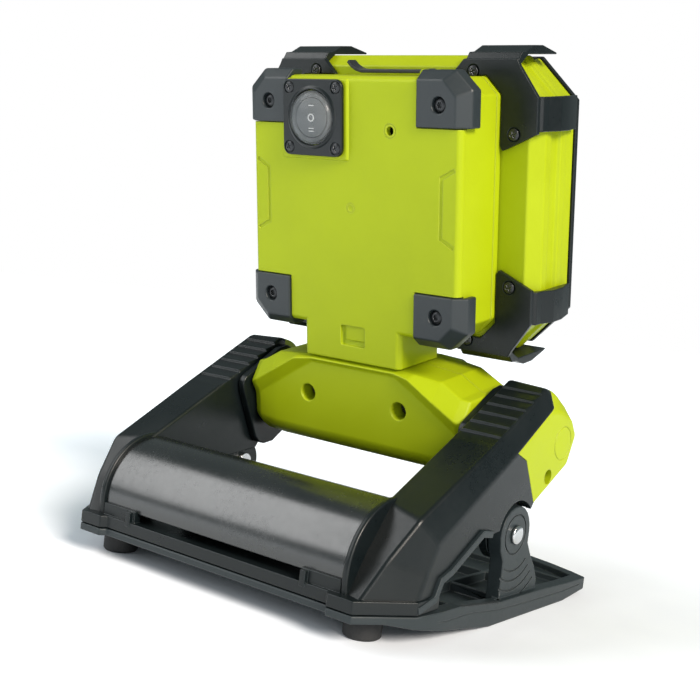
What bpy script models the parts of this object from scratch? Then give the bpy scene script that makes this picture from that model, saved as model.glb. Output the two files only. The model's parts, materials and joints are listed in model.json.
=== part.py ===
"""Rechargeable work light on a spring clamp base, at rest on a level floor with its head leaning back a little.

Shapes are drawn in millimetres and stored in metres. Two drawing frames are used. The base frame has Z up from the
floor, and Y from the clamp's mouth to its paddle. The head frame is the base frame turned by HEAD_LEAN about X.
"""

import math

import bmesh
import bpy
from mathutils import Matrix, Vector

MM = 0.001
GAP = 0.3
HEAD_LEAN = math.radians(11.0)

# Base frame
DEPTH_CENTRE = 75.0
JAW_PIVOT = Vector((0.0, 79.0, 38.5))
TILT_PIVOT = Vector((0.0, 94.1, 85.5))
JAW_HALF_WIDTH = 99.0
PIN_R = 3.0
TUBE_CENTRE = (14.0, 27.0)
TUBE_R = 28.2
TUBE_WALL = 3.0
ARM_WALL = 2.8
ARM_INNER_X = 70.5
ARM_OUTER_X = 96.0

# Head frame
PAN_AXIS_Y = 23.0
TILT_AXIS_Z = 66.0
CASE_MID_Z = 163.6
LAMP_MID_Z = 162.5
LAMP_HALF = (80.0, 70.0)
LAMP_CHAMFER = 20.0
SWITCH_AT = (-20.4, 203.9)
HOOK_AT = Vector((27.4, 27.0, 224.4))


def clear_scene():
    for old in list(bpy.data.objects):
        bpy.data.objects.remove(old)


def paint(name, colour, roughness, metallic=0.0, alpha=1.0):
    made = bpy.data.materials.new(name)
    made.use_nodes = True
    shader = made.node_tree.nodes["Principled BSDF"]
    shader.inputs["Base Color"].default_value = (*colour, 1.0)
    shader.inputs["Roughness"].default_value = roughness
    shader.inputs["Metallic"].default_value = metallic
    shader.inputs["Alpha"].default_value = alpha
    made.diffuse_color = (*colour, alpha)
    return made


def twisted(face):
    middle = face.calc_center_median()
    return any(abs((vert.co - middle).dot(face.normal)) > 0.0001 for vert in face.verts)


def piece_from(bm):
    bmesh.ops.remove_doubles(bm, verts=bm.verts, dist=0.0001)
    bmesh.ops.recalc_face_normals(bm, faces=bm.faces)
    bmesh.ops.triangulate(bm, faces=[face for face in bm.faces if len(face.verts) == 4 and twisted(face)])
    mesh = bpy.data.meshes.new("shape")
    bm.to_mesh(mesh)
    bm.free()
    made = bpy.data.objects.new("shape", mesh)
    bpy.context.scene.collection.objects.link(made)
    return made


def loft(rings):
    """One closed body through rings of points, each with the same number of points."""
    bm = bmesh.new()
    rows = [[bm.verts.new(point) for point in ring] for ring in rings]
    count = len(rows[0])
    for low, high in zip(rows, rows[1:]):
        for i in range(count):
            j = (i + 1) % count
            bm.faces.new((low[i], low[j], high[j], high[i]))
    bm.faces.new(rows[0][::-1])
    bm.faces.new(rows[-1])
    return piece_from(bm)


def placed(axis, u, v, along):
    """A point drawn as (Y, Z) for axis X, (X, Z) for axis Y and (X, Y) for axis Z."""
    if axis == "X":
        return Vector((along, u, v))
    if axis == "Y":
        return Vector((u, along, v))
    return Vector((u, v, along))


def prism(axis, outline, start, end):
    ends = (start, end)
    return loft([[placed(axis, u, v, along) for u, v in outline] for along in ends])


def box(x, y, z):
    return prism("Z", [(x[0], y[0]), (x[1], y[0]), (x[1], y[1]), (x[0], y[1])], *z)


def circle(centre, radius, count=24, turn=0.0):
    angles = [turn + 2 * math.pi * i / count for i in range(count)]
    return [(centre[0] + radius * math.cos(a), centre[1] + radius * math.sin(a)) for a in angles]


def rod(axis, centre, radius, start, end, count=24, turn=0.0):
    return prism(axis, circle(centre, radius, count, turn), start, end)


def turned(axis, centre, profile, count=24):
    """A round body from (radius, along) points. The profile ends on the axis, or is closed on itself."""
    bm = bmesh.new()
    solid = profile[0][0] == 0.0
    rows = []
    for radius, along in profile:
        if radius == 0.0:
            rows.append([bm.verts.new(placed(axis, centre[0], centre[1], along))])
        else:
            rows.append([bm.verts.new(placed(axis, u, v, along)) for u, v in circle(centre, radius, count)])
    pairs = list(zip(rows, rows[1:]))
    if not solid:
        pairs.append((rows[-1], rows[0]))
    for low, high in pairs:
        for i in range(count):
            j = (i + 1) % count
            corners = [low[i % len(low)], low[j % len(low)], high[j % len(high)], high[i % len(high)]]
            distinct = []
            for corner in corners:
                if corner not in distinct:
                    distinct.append(corner)
            bm.faces.new(distinct)
    return piece_from(bm)


def inset(outline, distance):
    """The outline moved inward by this distance, or outward if it is negative."""
    area = sum(a[0] * b[1] - b[0] * a[1] for a, b in zip(outline, outline[1:] + outline[:1]))
    side = distance if area > 0 else -distance
    moved = []
    for before, here, after in zip(outline[-1:] + outline[:-1], outline, outline[1:] + outline[:1]):
        first = Vector((here[0] - before[0], here[1] - before[1])).normalized()
        second = Vector((after[0] - here[0], after[1] - here[1])).normalized()
        normal = Vector((-first.y - second.y, first.x + second.x)).normalized()
        reach = side / max(0.3, normal.dot(Vector((-first.y, first.x))))
        moved.append((here[0] + normal.x * reach, here[1] + normal.y * reach))
    return moved


def both_sides(half):
    """A closed outline from its right half, listed from one crossing of the middle to the other."""
    left = [(-x, y) for x, y in reversed(half) if abs(x) > 1e-6]
    return half + left


def combine(piece, tool, operation):
    modifier = piece.modifiers.new("combine", "BOOLEAN")
    modifier.operation = operation
    modifier.solver = "EXACT"
    modifier.object = tool
    graph = bpy.context.evaluated_depsgraph_get()
    result = bpy.data.meshes.new_from_object(piece.evaluated_get(graph))
    piece.modifiers.clear()
    old = piece.data
    piece.data = result
    bpy.data.meshes.remove(old)
    bpy.data.objects.remove(tool)
    return piece


def add(piece, *tools):
    for tool in tools:
        combine(piece, tool, "UNION")
    return piece


def cut(piece, *tools):
    for tool in tools:
        combine(piece, tool, "DIFFERENCE")
    return piece


def common(piece, tool):
    return combine(piece, tool, "INTERSECT")


def copy_of(piece, flip_x=False, flip_about_z=None):
    made = piece.copy()
    made.data = piece.data.copy()
    bpy.context.scene.collection.objects.link(made)
    change = Matrix.Identity(4)
    if flip_x:
        change = Matrix.Scale(-1, 4, Vector((1, 0, 0))) @ change
    if flip_about_z is not None:
        turn = Matrix.Scale(-1, 4, Vector((0, 0, 1)))
        turn.translation = Vector((0, 0, 2 * flip_about_z))
        change = turn @ change
    made.data.transform(change)
    if change.determinant() < 0:
        made.data.flip_normals()
    return made


def strip(points, width):
    """The outline of a line of this width through the points."""
    left, right = [], []
    for i, here in enumerate(points):
        before = points[max(0, i - 1)]
        after = points[min(len(points) - 1, i + 1)]
        ways = []
        for start, end in ((before, here), (here, after)):
            way = Vector((end[0] - start[0], end[1] - start[1]))
            if way.length > 0:
                ways.append(way.normalized())
        mean = (ways[0] + ways[-1]).normalized()
        reach = width / 2 / max(0.4, mean.dot(ways[0]))
        left.append((here[0] - mean.y * reach, here[1] + mean.x * reach))
        right.append((here[0] + mean.y * reach, here[1] - mean.x * reach))
    return left + right[::-1]


def joint_point(name, parent, at, lean=0.0):
    made = bpy.data.objects.new(name, None)
    made.empty_display_size = 0.02
    bpy.context.scene.collection.objects.link(made)
    made.parent = parent
    made.location = at * MM
    made.rotation_euler = (lean, 0.0, 0.0)
    return made


def finish(piece, name, group, material, smooth=32.0):
    """Stores the drawn shape in metres under its joint, and gives it its name and paint."""
    parent, drawn_from = group
    piece.data.transform(Matrix.Scale(MM, 4) @ Matrix.Translation(-drawn_from))
    piece.name = name
    piece.data.name = name
    piece.parent = parent
    piece.data.materials.clear()
    piece.data.materials.append(material)
    piece.data.polygons.foreach_set("use_smooth", [True] * len(piece.data.polygons))
    piece.data.set_sharp_from_angle(angle=math.radians(smooth))
    return piece


clear_scene()
green = paint("green_shell", (0.36, 0.55, 0.012), 0.34)
black = paint("black_shell", (0.018, 0.021, 0.022), 0.36)
matte = paint("matte_black", (0.040, 0.046, 0.048), 0.62)
rubber = paint("black_rubber", (0.014, 0.015, 0.016), 0.85)
steel = paint("steel", (0.56, 0.57, 0.58), 0.30, metallic=1.0)
dark_steel = paint("dark_steel", (0.06, 0.062, 0.066), 0.42, metallic=1.0)
smoke = paint("smoke_boot", (0.22, 0.24, 0.25), 0.30, alpha=0.45)
clear = paint("clear_lens", (0.85, 0.88, 0.90), 0.12, alpha=0.35)
bright = paint("reflector", (0.80, 0.81, 0.82), 0.12, metallic=1.0)
board = paint("board", (0.02, 0.12, 0.06), 0.5)
metal = paint("aluminium", (0.62, 0.63, 0.64), 0.38, metallic=1.0)
wrap = paint("cell_wrap", (0.05, 0.16, 0.38), 0.4)

jaw_joint = joint_point("jaw_pivot", None, JAW_PIVOT - Vector((0, DEPTH_CENTRE, 0)))
tilt_joint = joint_point("tilt_pivot", jaw_joint, TILT_PIVOT - JAW_PIVOT, HEAD_LEAN)
pan_joint = joint_point("pan_pivot", tilt_joint, Vector((0, 0, 0)))
head_origin = Vector((0, PAN_AXIS_Y, TILT_AXIS_Z))
rocker_origin = Vector((SWITCH_AT[0], 0.0, SWITCH_AT[1]))
rocker_joint = joint_point("rocker_pivot", pan_joint, rocker_origin - head_origin)
hook_joint = joint_point("hook_pivot", pan_joint, HOOK_AT - head_origin)

BASE = (None, Vector((0, DEPTH_CENTRE, 0)))
JAW = (jaw_joint, JAW_PIVOT)
TILT = (tilt_joint, head_origin)
HEAD = (pan_joint, head_origin)
ROCKER = (rocker_joint, rocker_origin)
HOOK = (hook_joint, HOOK_AT)

SIDES = (("left", True), ("right", False))


# Lower jaw: a tray with a raised rim, two ears for the pins and a solid bar along the mouth.
rim_right = [(0, -17), (66, -17), (68, -20), (81, -20), (97, 3), (JAW_HALF_WIDTH, 20), (JAW_HALF_WIDTH, 151.4)]
rim_right += [(90, 155.2), (76, 159.8), (58, 164), (40, 167), (20, 169.3), (0, 170)]
side_under = [(-20, 10.5), (-8, 10.5), (16.5, 6), (52, 1), (60, 0), (130, 0), (151.4, 2.6), (170, 4)]
side_over = [(170, 8.7), (130, 8.7), (106, 9.6), (72, 10), (67.8, 10), (33.4, 13.9), (-20, 13.9)]
lower_jaw = prism("X", side_under + side_over, -JAW_HALF_WIDTH - 1, JAW_HALF_WIDTH + 1)
common(lower_jaw, prism("Z", both_sides(rim_right), -2, 16))

tray_right = [(0, 22), (88, 22), (92.5, 27), (92.5, 147.4), (86, 150.2), (73, 154.2), (56, 158.2), (39, 161)]
tray_right += [(19.5, 163.2), (0, 163.9)]
tray = prism("Z", both_sides(tray_right), -1, 22)
underside = [(20, 8.6), (52, 4), (60, 3), (130, 3), (151.4, 5.4), (172, 6.8), (172, 21), (20, 21)]
common(tray, prism("X", underside, -100, 100))
for rib_y in (52, 84, 116, 142):
    cut(tray, box((-95, 95), (rib_y - 1, rib_y + 1), (0, 7.4)))
for rib_x in (-62, -31, 0, 31, 62):
    cut(tray, box((rib_x - 1, rib_x + 1), (20, 168), (0, 7.4)))
cut(lower_jaw, tray)
cut(lower_jaw, box((-60.5, 60.5), (-8.5, 14.5), (11.4, 20)))
ear = [(66, 38.5), (67.6, 32), (70.5, 27), (71, 9), (71, 4)]
ear += [(105, 4), (105, 14), (101, 21), (96, 27), (92, 33)]
ear += [(79 + 13 * math.cos(a), 38.5 + 13 * math.sin(a)) for a in [math.pi * i / 12 for i in range(12)]]
for side in (1, -1):
    add(lower_jaw, prism("X", ear, 89 * side, 96 * side))
    cut(lower_jaw, rod("X", JAW_PIVOT[1:], PIN_R + GAP, 85 * side, 101 * side, 20))
    cut(lower_jaw, rod("Z", (73.4 * side, 0), 8.25 + GAP, -1, 10.5, 28))

# Arms of the upper jaw: roof-shaped shells that narrow from the mouth to the tilt pivot.
ARM_INNER = [(-13.5, 15), (-13.5, 19.4), (-4, 36), (10.2, 55.2), (53.3, 78.7)]
ARM_INNER += [(99.5, 105), (110, 103), (121, 94.5)]
ARM_INNER += [(126.5, 82), (121, 68)]
ARM_RIDGE = [(80.5, -18, 15), (81, -17, 18.5), (86.5, -7.5, 35.5), (91.5, 5.5, 52), (92.8, 53.5, 78.5)]
ARM_RIDGE += [(92, 98.5, 104), (91, 110, 101.5), (91, 121.5, 93.5), (91, 127, 82), (91, 121.5, 68)]
ARM_OUTER = [(3.4, 15), (4, 19.7), (9, 30), (15.3, 41.9), (60, 69.2)]
ARM_OUTER += [(99.3, 93.7), (108, 93.4), (120.5, 89.2)]
ARM_OUTER += [(127, 81.7), (121.8, 68.2)]
SKIRT = [(92.2, 51.4), (87.7, 45.2), (57.3, 40.8), (48.1, 42.7)]
SKIRT += [(25.9, 29.3), (18.8, 26.7), (15.3, 19.3), (15.3, 15)]
SKIRT_RIDGE_X = 90.0


def arm_rings(wall, tail=None):
    """The arm's three lines, moved inward by a wall. A tail replaces the skirt, and opens the arm below."""
    inner = inset(ARM_INNER + SKIRT, wall)[:10]
    ridge = inset([point[1:] for point in ARM_RIDGE] + SKIRT, wall)[:10]
    outer = inset(ARM_OUTER + SKIRT, wall)[:10]
    rings = []
    ridge_x = [point[0] - wall for point in ARM_RIDGE]
    lines = ((inner, [ARM_INNER_X + wall] * 10), (ridge, ridge_x), (outer, [ARM_OUTER_X - wall] * 10))
    for line, along in lines:
        if tail is None:
            under = inset(line + SKIRT, 0.0)[10:] if wall == 0.0 else [(y, z + wall) for y, z in SKIRT]
        else:
            line = [(line[0][0], tail[-1][1])] + line[1:]
            under = tail
        under_x = [min(along[-1], SKIRT_RIDGE_X) if along is ridge_x else along[-1]] * len(under)
        ring = [Vector((x, y, z)) for x, (y, z) in zip(along + under_x, line + under)]
        rings.append(ring)
    return rings


arm = loft(arm_rings(0.0))
arm_core = loft(arm_rings(0.6))
cut(arm, loft(arm_rings(ARM_WALL, [(118, 30), (20, -8)])))

# Round well in each arm's outer wall, which clears the lower jaw's ear, and the two discs that hold the pin.
well = rod("X", JAW_PIVOT[1:], 17.6, 84.8, 96.5, 36)
common(well, copy_of(arm_core))
ear_disc = rod("X", JAW_PIVOT[1:], 13, 84.2, 88.6, 36)
inner_disc = rod("X", JAW_PIVOT[1:], 11, 70.9, 73.0, 32)
add(arm, well, ear_disc, inner_disc)
cut(arm, rod("X", JAW_PIVOT[1:], 15.6, 88.4, 100, 36), rod("X", JAW_PIVOT[1:], PIN_R + GAP, 68, 90, 20))

# Grip ribs across the arm's roof: each one sinks towards the rear, up to the step of the next.
RIB_LINES = (54.6, 62.0, 68.8, 75.4, 81.8, 88.1, 94.4)
RIB_DEPTH = 1.3


def roof_height(y):
    (y0, z0), (y1, z1) = ARM_INNER[4:6]
    return z0 + (z1 - z0) * (y - y0) / (y1 - y0)


for front, rear in zip(RIB_LINES, RIB_LINES[1:]):
    tooth = [(front, roof_height(front)), (rear - 0.05, roof_height(rear) - RIB_DEPTH)]
    tooth += [(rear - 0.05, roof_height(rear) + 4)]
    tooth.append((front, roof_height(front) + 4))
    cut(arm, prism("X", tooth, 69, 91.6))

# The green cover closes the arm's outer side and end.
COVER_SIDE = [(71.8, 75.9), (80.2, 72.2), (92.2, 51.4), (92.2, 30)]
COVER_SIDE += [(140, 30), (140, 115), (103.5, 115), (101.7, 95.4)]
COVER_END = [(103.5, 115), (102.5, 95), (104, 40), (140, 40), (140, 115)]


def cover_region(margin):
    region = prism("X", inset(COVER_SIDE, margin), 84 + margin, 99)
    return add(region, prism("X", inset(COVER_END, margin), 68, 98.9))


cover = copy_of(arm)
boss = rod("X", (103.3, 62.1), 6.6, 84.6, 95.9, 28)
common(boss, copy_of(arm_core))
add(cover, boss)
common(cover, cover_region(GAP / 2))
cut(cover, rod("X", (103.3, 62.1), 4.4, 90, 99, 24), rod("X", (103.3, 62.1), 1.8, 80, 91, 12))
mark = [(7.4, ARM_OUTER_X - 0.4), (8.3, ARM_OUTER_X - 0.4), (8.3, ARM_OUTER_X + 1), (7.4, ARM_OUTER_X + 1)]
cut(cover, turned("X", (113.8, 78), mark, 36))
cut(arm, cover_region(-GAP / 2))
cut(arm, rod("X", TILT_PIVOT[1:], 4 + GAP, 68, 76, 24))

# Upper jaw: both arms, the round front cover and the flange that meets the lower jaw.
flange_right = [(0, -17), (66, -17), (68, -20), (81, -20), (97, 3), (97, 19), (0, 19)]
upper_jaw = prism("Z", both_sides(flange_right), 14.4, 20)
cut(upper_jaw, box((-60.5, 60.5), (-8.5, 14.5), (10, 17.8)))
around = [math.radians(186 - 196 * i / 28) for i in range(29)]
outer = [(TUBE_CENTRE[0] + TUBE_R * math.cos(a), TUBE_CENTRE[1] + TUBE_R * math.sin(a)) for a in around]
inner_r = TUBE_R - TUBE_WALL
inner = [(TUBE_CENTRE[0] + inner_r * math.cos(a), TUBE_CENTRE[1] + inner_r * math.sin(a)) for a in around]
add(upper_jaw, prism("X", outer + inner[::-1], -72, 72))
add(upper_jaw, arm, copy_of(arm, flip_x=True))
lip_angles = [math.radians(190 - 4 * i) for i in range(31)]
lip = [(TUBE_CENTRE[0] + 30.1 * math.cos(a), TUBE_CENTRE[1] + 30.1 * math.sin(a)) for a in lip_angles]
lip += [(26, 51), (12, 46), (0, 34), (-7, 17.3), (-16, 17.3)]
for side in (1, -1):
    add(upper_jaw, prism("X", lip, *sorted((71.4 * side, 73.9 * side))))
band = [(3.4, 16.3), (15.3, 19.3), (18.8, 26.7), (25.9, 29.3), (48.1, 42.7), (56, 41.6)]
for side in (1, -1):
    add(upper_jaw, prism("X", strip(band, 3.2), *sorted((94 * side, 97.6 * side))))
    add(upper_jaw, box(sorted((50 * side, 71 * side)), (-15.5, -11.5), (19.5, 25.5)))
    add(upper_jaw, box(sorted((51 * side, 54 * side)), (-17.6, -14.4), (19, 25)))
bpy.data.objects.remove(arm_core)

finish(lower_jaw, "lower_jaw", BASE, matte, 25)
finish(upper_jaw, "upper_jaw", JAW, black, 25)
finish(prism("Z", [(-60, -8), (60, -8), (60, 14), (-60, 14)], 11.7, 14.0), "lower_jaw_pad", BASE, rubber)
finish(prism("Z", [(-60, -8), (60, -8), (60, 14), (-60, 14)], 14.6, 17.5), "upper_jaw_pad", JAW, rubber)


def coil_spring(start, end, radius, wire, turns):
    """A torsion spring round the pin, with one straight leg under the arm's roof."""
    path = []
    steps = turns * 11
    for i in range(steps + 1):
        angle = math.radians(100) + 2 * math.pi * turns * i / steps
        x = start + (end - start) * i / steps
        path.append(Vector((x, 79 + radius * math.cos(angle), 38.5 + radius * math.sin(angle))))
    path.insert(0, path[0] + Vector((0, 14, 2.5)))
    rings = []
    for i, here in enumerate(path):
        way = (path[min(i + 1, len(path) - 1)] - path[max(i - 1, 0)]).normalized()
        flat = Vector((1, 0, 0)) - way * way.x
        flat.normalize()
        third = way.cross(flat)
        angles = [2 * math.pi * j / 5 for j in range(5)]
        rings.append([here + (flat * math.cos(a) + third * math.sin(a)) * wire / 2 for a in angles])
    return loft(rings)


pin_profile = [(0, 98.2), (2.6, 98.2), (4.3, 97.4), (4.5, 96.4), (PIN_R, 96.4)]
pin_profile += [(PIN_R, 70.4), (4.4, 70.4), (4.4, 68.9), (0, 68.9)]
pin = turned("X", JAW_PIVOT[1:], pin_profile, 20)
foot = turned("Z", (73.4, 0), [(0, 0), (7.4, 0), (8.25, 0.9), (8.25, 10.2), (0, 10.2)], 28)
spring = coil_spring(76, 83, 5.4, 1.5, 4)
cover_screw_profile = [(0, 92.6), (3.3, 92.6), (3.8, 92.0), (3.8, 90.3), (1.5, 90.3), (1.5, 80), (0, 80)]
cover_screw = turned("X", (103.3, 62.1), cover_screw_profile, 16)
for label, flip in SIDES:
    finish(copy_of(pin, flip), "hinge_pin_" + label, BASE, steel)
    finish(copy_of(foot, flip), "foot_front_" + label, BASE, rubber)
    finish(copy_of(spring, flip), "spring_" + label, JAW, steel, 60)
    finish(copy_of(cover, flip), "arm_cover_" + label, JAW, green)
    finish(copy_of(cover_screw, flip), "arm_cover_screw_" + label, JAW, dark_steel)
for used in (pin, foot, spring, cover, cover_screw):
    bpy.data.objects.remove(used)


# Tilt bar: a green cross bar in two shells, split lengthways.
# Each section's rear half: the foot, the recessed face's top, the rim, the roof's edge.
# The front half mirrors it.
BAR_SECTIONS = (
    (25.3, [(10, 39.5), (2.5, 46), (2.5, 84.0), (1.0, 85.8), (4.5, 87.2)]),
    (35.0, [(10, 39.5), (2.5, 46), (2.5, 78.2), (-1.0, 84.8), (5.2, 86.2)]),
    (49.7, [(10, 39.5), (2.5, 46), (2.5, 68.8), (-1.2, 75.8), (6.4, 84.7)]),
    (60.8, [(11, 39.8), (3.0, 47), (2.8, 61.6), (-1.0, 69.2), (6.0, 78.3)]),
    (65.5, [(13, 41.5), (5.0, 48.5), (4.4, 60.4), (1.4, 67.2), (8.0, 77.2)]),
)
BAR_HOLLOW = (
    (24.0, [(12, 43.5), (6, 50), (6, 80), (9, 84.1)]),
    (49.0, [(12, 43.5), (6, 50), (6, 68), (11, 79)]),
    (61.5, [(14, 45), (7.5, 51), (7.5, 62), (12, 73)]),
)


def bar_loft(sections):
    rings = []
    for x, rear in [(-x, o) for x, o in reversed(sections)] + list(sections):
        outline = rear + [(2 * PAN_AXIS_Y + 2 - y, z) for y, z in reversed(rear)]
        rings.append([placed("X", y, z, x) for y, z in outline])
    return loft(rings)


bar = bar_loft(BAR_SECTIONS)
cut(bar, bar_loft(BAR_HOLLOW))
for side in (1, -1):
    add(bar, rod("Y", (27.9 * side, 67.2), 6.2, 3, 45, 24))
    cut(bar, rod("Y", (27.9 * side, 67.2), 4.2, 0, 12, 24), rod("Y", (27.9 * side, 67.2), 1.9, 11, 38, 12))
    cut(bar, rod("X", (PAN_AXIS_Y, TILT_AXIS_Z), 4 + GAP, 50 * side, 68 * side, 24))
cut(bar, rod("Z", (0, PAN_AXIS_Y), 4 + GAP, 80, 90, 24))
bar_front = copy_of(bar)
cut(bar, box((-70, 70), (24 - GAP / 2, 60), (30, 95)))
cut(bar_front, box((-70, 70), (-10, 24 + GAP / 2), (30, 95)))
finish(bar, "tilt_bar_rear", TILT, green)
finish(bar_front, "tilt_bar_front", TILT, green)

bar_screw_profile = [(0, 9.2), (3.1, 9.2), (3.5, 9.7), (3.5, 11.7), (1.6, 11.7), (1.6, 34), (0, 34)]
bar_screw = turned("Y", (27.9, 67.2), bar_screw_profile, 16)
axis_at = (PAN_AXIS_Y, TILT_AXIS_Z)
COLLAR = [(-3.6, 68.4), (-4.2, 66), (-3.9, 62.5), (4.2, 35.6), (6.8, 32), (11, 30.2)]
COLLAR += [(18, 30), (31, 36), (41, 50), (44, 64)]
COLLAR += [(40, 75), (32, 80.6), (25, 80), (-1.6, 70.2)]
collar = prism("X", COLLAR, 65.8, 69.8)
cut(collar, rod("X", axis_at, 4.3, 60, 75, 24))
tilt_bolt_profile = [(0, 79.5), (6.5, 79.5), (7.5, 78.5), (7.5, 74), (4, 74), (4, 52), (0, 52)]
tilt_bolt = turned("X", axis_at, tilt_bolt_profile, 24)
for label, flip in SIDES:
    finish(copy_of(bar_screw, flip), "bar_screw_" + label, TILT, dark_steel)
    finish(copy_of(collar, flip), "tilt_collar_" + label, TILT, black, 20)
    finish(copy_of(tilt_bolt, flip), "tilt_bolt_" + label, TILT, dark_steel)
for used in (bar_screw, collar, tilt_bolt):
    bpy.data.objects.remove(used)

# Swivel bolt: joins the head's neck to the bar and is the pan axis.
pan_at = (0, PAN_AXIS_Y)
swivel_profile = [(0, 103), (6, 103), (7, 102), (7, 97.4), (4, 97.4), (4, 72), (0, 72)]
finish(turned("Z", pan_at, swivel_profile, 24), "swivel_bolt", HEAD, dark_steel)
washer_profile = [(4.3, 82.6), (9, 82.6), (9, 83.8), (4.3, 83.8)]
finish(turned("Z", pan_at, washer_profile, 24), "swivel_washer", HEAD, steel)
nut = cut(rod("Z", pan_at, 7.5, 75.5, 82.3, 6), rod("Z", pan_at, 4.2, 70, 90, 24))
finish(nut, "swivel_nut", HEAD, steel)


# Battery case, with the neck in one moulding.
def case_outline(half_width, half_height, chamfer):
    x, z = half_width, half_height
    right = [(0, -z), (x - chamfer, -z), (x, -z + chamfer), (x, z - chamfer), (x - chamfer, z), (0, z)]
    return [(u, v + CASE_MID_Z) for u, v in both_sides(right)]


def ring_at(y, outline):
    return [Vector((x, y, z)) for x, z in outline]


case = loft([
    ring_at(1.5, case_outline(59.4, 57.8, 7.4)),
    ring_at(3.6, case_outline(61.0, 59.6, 8.0)),
    ring_at(35.4, case_outline(61.0, 59.6, 8.0)),
])
neck_rings = []
for y, half in ((1.5, 27.3), (3.6, 29.3), (33.4, 29.3), (35.4, 27.5)):
    neck_rings.append(ring_at(y, [(-half, 87.6), (half, 87.6), (half, 112), (-half, 112)]))
neck = loft(neck_rings)
add(case, neck)
add(case, prism("Y", [(-41, 184.2), (-1, 184.2), (-1, 222), (-41, 222)], GAP, 3))
cut(case, box((-33.5, 33.5), (4.6, 40), (107.2, 220)))
cut(case, box((-58, 58), (4.6, 40), (CASE_MID_Z - 32, CASE_MID_Z + 32)))
cut(case, prism("Y", case_outline(58.0, 56.6, 7.0), 10, 40))
for sx in (1, -1):
    for sz in (1, -1):
        low = CASE_MID_Z + sz * 37.2
        cut(case, box(sorted((37.2 * sx, 70 * sx)), (0, 6.3), sorted((low, CASE_MID_Z + sz * 70))))
        cut(case, rod("Y", (49.5 * sx, CASE_MID_Z + sz * 47.6), 1.9, 5, 12, 12))
        turns = ((57.9, 19.6), (50.9, 15.7), (50.9, -11.3), (57.9, -15.2))
        if sz > 0:
            cut(case, prism("Y", strip([(x * sx, z + CASE_MID_Z) for x, z in turns], 1.8), 0.8, 2.1))
cut(case, rod("Z", pan_at, 4 + GAP, 85, 100, 24), rod("Z", pan_at, 8, 97.1, 115, 28))
cut(case, box((-6, 8.6), (0, 4), (95.4, 105.4)))
cut(case, rod("Y", SWITCH_AT, 11.5, -1, 6, 32), rod("Y", (22.5, 199), 2.2, 0, 6, 16))
cut(case, box((-65, -55), (14, 26), (147, 159)))
for lug_y in ((21.4, 23.8), (30.2, 32.6)):
    lug_outline = [(24.8, 222), (30, 222), (30, 225.2), (28.9, 226.3), (25.9, 226.3), (24.8, 225.2)]
    lug = prism("Y", lug_outline, *lug_y)
    add(case, lug)
cut(case, box((24.6, 30.2), (23.8, 30.2), (221.9, 224)), rod("Y", (HOOK_AT[0], HOOK_AT[2]), 1.15, 20, 34, 12))
finish(case, "battery_case", HEAD, green)

# Corner bumpers of the case.
face = [(37.5, 37.6), (58.5, 37.6), (58.5, 51.2), (51.6, 58.4), (37.5, 58.4)]
wide = [(37.5, 37.6), (64.4, 37.6), (64.4, 54.2), (55.4, 62.8), (37.5, 62.8)]
rings = [ring_at(y, [(x, z + CASE_MID_Z) for x, z in line]) for y, line in ((0, face), (5, wide), (12, wide))]
bumper = loft(rings)
cut(bumper, prism("Y", inset(case_outline(61.0, 59.6, 8.0), -GAP), 6, 20))
screw_at = (49.5, CASE_MID_Z + 47.6)
cut(bumper, rod("Y", screw_at, 3.6, -1, 3.4, 20), rod("Y", screw_at, 1.9, -1, 8, 12))
screw_line = [(0, 1.4), (2.7, 1.4), (3.2, 1.9), (3.2, 3.1), (1.5, 3.1), (1.5, 13), (0, 13)]
bumper_screw = turned("Y", (49.5, CASE_MID_Z + 47.6), screw_line, 16)

# Lamp housing: a chamfered tray with two ridges round its side.
LAMP_RINGS = ((36, 5.0), (41, 1.6), (43, 0), (48, 0), (49.4, 1.6), (56, 1.6), (57.2, 0), (62, 0), (63.2, 1.6))
LAMP_RINGS += ((72, 1.6),)


def lamp_outline(inward):
    x, z, c = LAMP_HALF[0] - inward, LAMP_HALF[1] - inward, LAMP_CHAMFER - inward * 0.59
    right = [(0, -z), (x - c, -z), (x, -z + c), (x, z - c), (x - c, z), (0, z)]
    return [(u, v + LAMP_MID_Z) for u, v in both_sides(right)]


housing = loft([ring_at(y, lamp_outline(inward)) for y, inward in LAMP_RINGS])
cut(housing, prism("Y", lamp_outline(5.0), 39.2, 80))
finish(housing, "lamp_housing", HEAD, green)
bezel = prism("Y", lamp_outline(0.6), 72.3, 75)
cut(bezel, prism("Y", lamp_outline(9.0), 70, 80))
finish(bezel, "front_bezel", HEAD, black)
finish(prism("Y", lamp_outline(5.6), 69.3, 72.0), "lens", HEAD, clear)
gasket = cut(prism("Y", lamp_outline(5.6), 67.2, 69.0), prism("Y", lamp_outline(9.4), 60, 75))
finish(gasket, "lens_gasket", HEAD, rubber)
reflector = loft([ring_at(y, lamp_outline(inward)) for y, inward in ((49, 22.0), (66.8, 6.2))])
cut(reflector, loft([ring_at(y, lamp_outline(inward)) for y, inward in ((50.4, 24.4), (67.4, 7.4))]))
cut(reflector, box((-42, 42), (48, 52), (LAMP_MID_Z - 32, LAMP_MID_Z + 32)))
finish(reflector, "reflector", HEAD, bright)
finish(box((-45, 45), (46.9, 48.6), (LAMP_MID_Z - 36, LAMP_MID_Z + 36)), "led_board", HEAD, board)
sink = box((-56, 56), (43.5, 46.6), (LAMP_MID_Z - 46, LAMP_MID_Z + 46))
for k in range(9):
    add(sink, box((-52 + 13 * k - 1, -52 + 13 * k + 1), (39.6, 44), (LAMP_MID_Z - 44, LAMP_MID_Z + 44)))
finish(sink, "heat_sink", HEAD, metal)

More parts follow.
